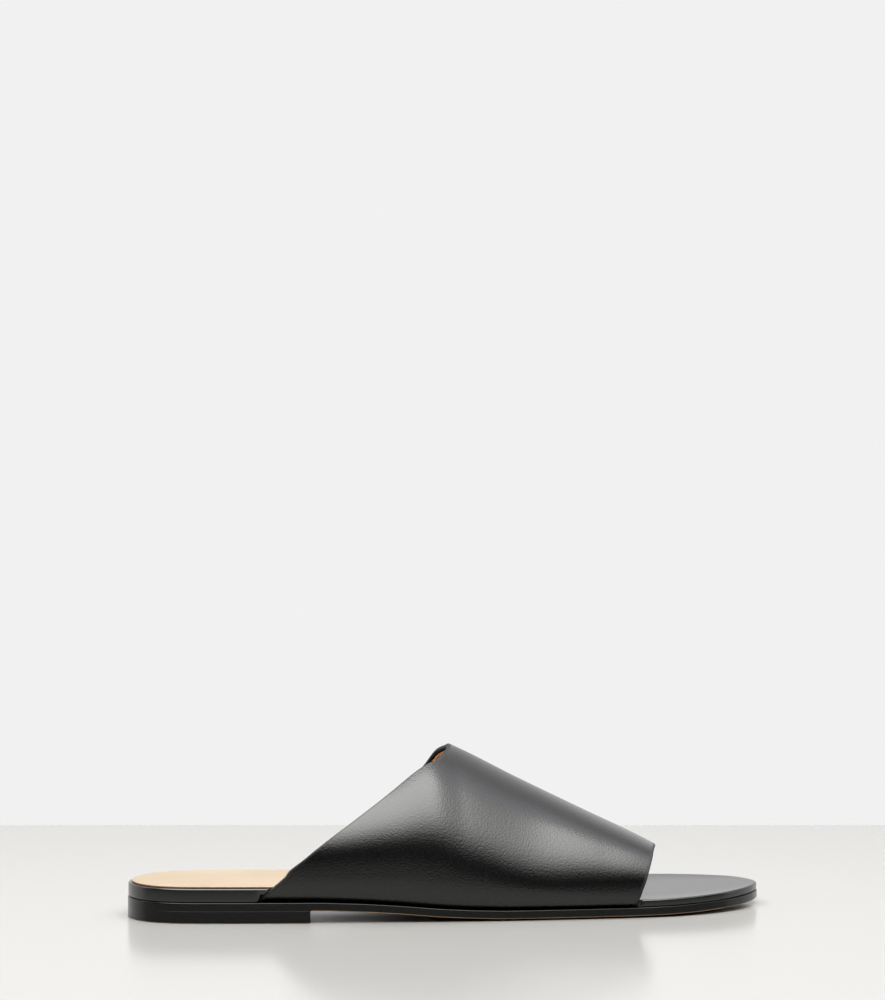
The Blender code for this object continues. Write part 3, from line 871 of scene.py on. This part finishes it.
footbed_leather = nappa(
    "footbed_leather", cell_scale=1700.0, depth=0.00001, rough_low=0.17, rough_high=0.22, sheen=0.6
)
footbed.data.materials.append(footbed_leather)
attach(footbed, "root")
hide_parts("footbed")


# Sock
# A thin sheet of natural leather, cut a little inside the rim and glued over the heel
# and the arch. Its cut edge is darker than its face.

SOCK_THICKNESS = 0.0008
SOCK_INSET = 0.0016
SOCK_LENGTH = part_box("insole_sock")[1].x - HEEL_BACK
SOCK_TAN = (0.272, 0.214, 0.150, 1)
SOCK_TAN_DARK = (0.240, 0.184, 0.124, 1)
SOCK_EDGE = (0.25, 0.12, 0.06, 1)
SOCK_SPINE = (0.25, 0.6)

# Side of the sock from the footbed up: inset in metres, and share of the thickness.
SOCK_CUT = ((0.0, 0.7), (0.0001, 0.9), (0.0004, 1.0))


def sock_loop():
    """The sock's plan: inside the sole's edge as far as its front end, then straight across."""
    share = np.linspace(0, 1, LOOP_STEPS)
    x = SOCK_LENGTH * (1 - np.cos(np.pi / 2 * share))
    medial = np.stack([x, sole_edge(x, "medial")], axis=-1)[::-1]
    lateral = np.stack([x, sole_edge(x, "lateral")], axis=-1)
    side = np.concatenate([medial[:-1], lateral])
    tangent = np.gradient(side, axis=0)
    tangent = tangent / np.linalg.norm(tangent, axis=1, keepdims=True)
    side = side - SOCK_INSET * np.stack([tangent[:, 1], -tangent[:, 0]], axis=-1)
    across = side[-1] + (side[0] - side[-1]) * share[1:-1, None]
    return even_loop(np.concatenate([side, across]))


def sock_spine(x):
    """The points that the sock's rings shrink to: its middle line, short of both ends."""
    inner = SOCK_LENGTH * (SOCK_SPINE[0] + SOCK_SPINE[1] * x / SOCK_LENGTH)
    middle = (sole_edge(inner, "lateral") + sole_edge(inner, "medial")) / 2
    return np.stack([inner, middle], axis=-1)


outline = sock_loop()
top = footbed_top(outline[:, 0], outline[:, 1])
profile = [(0.0, top + GLUE_LINE)]
for inset, level in SOCK_CUT:
    profile.append((inset, top + level * SOCK_THICKNESS))
sock = layer_piece(
    "insole_sock_leather",
    outline,
    sock_spine(outline[:, 0]),
    profile,
    lambda x, y: footbed_top(x, y) + GLUE_LINE,
    lambda x, y: footbed_top(x, y) + SOCK_THICKNESS,
    {"cut": lambda rows: (np.arange(rows)[:, None] < FLAT_STEPS + 2).astype(float)},
)
sock_leather, nodes, links, shader = new_material("sock_leather")
grain = place_group(nodes, GRAIN, Cell_Scale=1100.0, Fibre=0.7, Mottle_Scale=40.0)
mottle = spread(nodes, links, grain.outputs["Mottle"], 0.3, 0.7, 0.0, 1.0)
face = blend_colours(nodes, links, mottle, SOCK_TAN_DARK, SOCK_TAN)
colour = blend_colours(nodes, links, mask_of(nodes, "cut"), face, SOCK_EDGE)
links.new(colour, shader.inputs["Base Color"])
shader.inputs["Roughness"].default_value = 0.5
raise_grain(nodes, links, shader, grain.outputs["Height"], 0.00003)
sock.data.materials.append(sock_leather)
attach(sock, "root")
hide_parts("insole_sock")


# Studio
# A pale floor with a faint sheen, a white wall close behind that glows brighter above
# the picture, a large sheet of lit diffusion cloth overhead on the near side, and the
# camera low on the lateral side.

CAMERA_PLACE = (-0.1167, -1.3600, 0.18344)
CAMERA_TURN = np.radians(8.61)
CAMERA_DOWN = np.radians(0.95)
FOCAL_LENGTH = 126.468
SENSOR_WIDTH = 36.0
NEAR_CLIP = 0.05
WALL_DISTANCE = 1.678
STAGE_HALF = 4.0
FLOOR_BEHIND_CAMERA = 2.0
FLOOR_STONE = (0.26, 0.257, 0.251, 1)
FLOOR_ROUGHNESS = 0.15
FLOOR_SHEEN = 0.12
AIR_GLOW = 0.03
BLACK = (0, 0, 0, 1)
WALL_FADE = (0.40, 0.80)
WALL_WHITE = (0.88, 0.88, 0.88, 1)
WALL_TOP = (2.55, 2.45, 2.60, 1)


def stage_plane(name, corners, material):
    """One flat sheet of the studio, which isn't part of the sandal."""
    mesh = bpy.data.meshes.new(name)
    mesh.from_pydata(corners, [], [(0, 1, 2, 3)])
    plane = bpy.data.objects.new(name, mesh)
    bpy.context.scene.collection.objects.link(plane)
    plane.data.materials.append(material)
    return plane


def show_front_only(nodes, links, shader):
    """Make a stage sheet see-through from behind, so that it hides nothing in other views."""
    place = nodes.new("ShaderNodeNewGeometry")
    alpha = spread(nodes, links, place.outputs["Backfacing"], 0.0, 1.0, 1.0, 0.0)
    links.new(alpha, shader.inputs["Alpha"])


floor_finish, nodes, links, shader = new_material("floor_finish")
show_front_only(nodes, links, shader)
shader.inputs["Base Color"].default_value = FLOOR_STONE
shader.inputs["Roughness"].default_value = FLOOR_ROUGHNESS
shader.inputs["Specular IOR Level"].default_value = FLOOR_SHEEN
wall_finish, nodes, links, shader = new_material("wall_finish")
show_front_only(nodes, links, shader)
shader.inputs["Base Color"].default_value = BLACK
shader.inputs["Specular IOR Level"].default_value = 0.0
shader.inputs["Emission Strength"].default_value = 1.0
place = nodes.new("ShaderNodeTexCoord")
height = nodes.new("ShaderNodeSeparateXYZ")
links.new(place.outputs["Object"], height.inputs["Vector"])
above = spread(nodes, links, height.outputs["Z"], *WALL_FADE, 0.0, 1.0)
links.new(blend_colours(nodes, links, above, WALL_WHITE, WALL_TOP), shader.inputs["Emission Color"])

ahead = np.array([np.sin(CAMERA_TURN), np.cos(CAMERA_TURN), 0])
aside = np.array([np.cos(CAMERA_TURN), -np.sin(CAMERA_TURN), 0])
ground = np.array([CAMERA_PLACE[0], CAMERA_PLACE[1], 0])
back_line = ground + ahead * WALL_DISTANCE
front_line = ground - ahead * FLOOR_BEHIND_CAMERA
left, right = -aside * STAGE_HALF, aside * STAGE_HALF
rise = np.array([0, 0, STAGE_HALF])
stage_plane(
    "floor",
    [front_line + left, front_line + right, back_line + right, back_line + left],
    floor_finish,
)
stage_plane(
    "wall",
    [back_line + left, back_line + right, back_line + right + rise, back_line + left + rise],
    wall_finish,
)


PANEL_CENTRE = np.array([-0.03, -0.59, 1.07])
PANEL_AIM = np.array([0.08, 0.0, 0.03])
PANEL_SIDES = (-1.1, 1.6)
PANEL_ENDS = (-1.1, 1.05)
PANEL_STEPS = 24
PANEL_GLOW = 9.5
PANEL_COLOUR = (1.0, 1.0, 0.97, 1)
PANEL_RISE = (-0.95, 0.20)
PANEL_HEEL_FADE = (-1.1, -0.6)
PANEL_TOE_FADE = (0.40, 0.90)
PANEL_TOE_LOSS = 0.7


def light_panel(name, material):
    """A sheet of diffusion cloth that faces the sandal, lit unevenly from behind.

    The mask glow is 1 over the upper part. It fades to 0 at the lower edge, behind the
    camera, and at the heel's side, and by PANEL_TOE_LOSS towards the toe's side.
    """
    aim = (PANEL_AIM - PANEL_CENTRE) / np.linalg.norm(PANEL_AIM - PANEL_CENTRE)
    across = np.cross(aim, (0, 0, 1))
    across = across / np.linalg.norm(across)
    up = np.cross(across, aim)
    s = np.linspace(*PANEL_SIDES, PANEL_STEPS)[None, :, None]
    t = np.linspace(*PANEL_ENDS, PANEL_STEPS)[:, None, None]
    points = PANEL_CENTRE + s * across + t * up
    glow = ease(*PANEL_RISE, t) * (1 - PANEL_TOE_LOSS * ease(*PANEL_TOE_FADE, s))
    glow = glow * ease(*PANEL_HEEL_FADE, s)
    mesh = bpy.data.meshes.new(name)
    faces = grid_faces(PANEL_STEPS, PANEL_STEPS, False, False)
    mesh.from_pydata(points.reshape(-1, 3).tolist(), [], faces.tolist())
    layer = mesh.attributes.new("glow", "FLOAT", "POINT")
    layer.data.foreach_set("value", glow.astype(np.float32).ravel())
    panel = bpy.data.objects.new(name, mesh)
    bpy.context.scene.collection.objects.link(panel)
    panel.data.materials.append(material)


panel_cloth, nodes, links, shader = new_material("panel_cloth")
show_front_only(nodes, links, shader)
shader.inputs["Base Color"].default_value = BLACK
shader.inputs["Specular IOR Level"].default_value = 0.0
shader.inputs["Emission Strength"].default_value = PANEL_GLOW
glow = blend_colours(nodes, links, mask_of(nodes, "glow"), BLACK, PANEL_COLOUR)
links.new(glow, shader.inputs["Emission Color"])
light_panel("light_panel", panel_cloth)

world = bpy.data.worlds.new("studio_air")
world.use_nodes = True
world.node_tree.nodes["Background"].inputs["Color"].default_value = (1, 1, 1, 1)
world.node_tree.nodes["Background"].inputs["Strength"].default_value = AIR_GLOW
bpy.context.scene.world = world
bpy.context.scene.view_settings.view_transform = "Standard"

sight = np.cos(CAMERA_DOWN) * ahead - np.sin(CAMERA_DOWN) * np.array([0, 0, 1])
upward = np.sin(CAMERA_DOWN) * ahead + np.cos(CAMERA_DOWN) * np.array([0, 0, 1])
lens = bpy.data.cameras.new("camera")
lens.lens = FOCAL_LENGTH
lens.sensor_width = SENSOR_WIDTH
lens.clip_start = NEAR_CLIP
camera = bpy.data.objects.new("camera", lens)
bpy.context.scene.collection.objects.link(camera)
camera.matrix_world = Matrix(
    [(*pair, place) for pair, place in zip(np.stack([aside, upward, -sight], axis=-1), CAMERA_PLACE)]
    + [(0, 0, 0, 1)]
)
bpy.context.scene.camera = camera
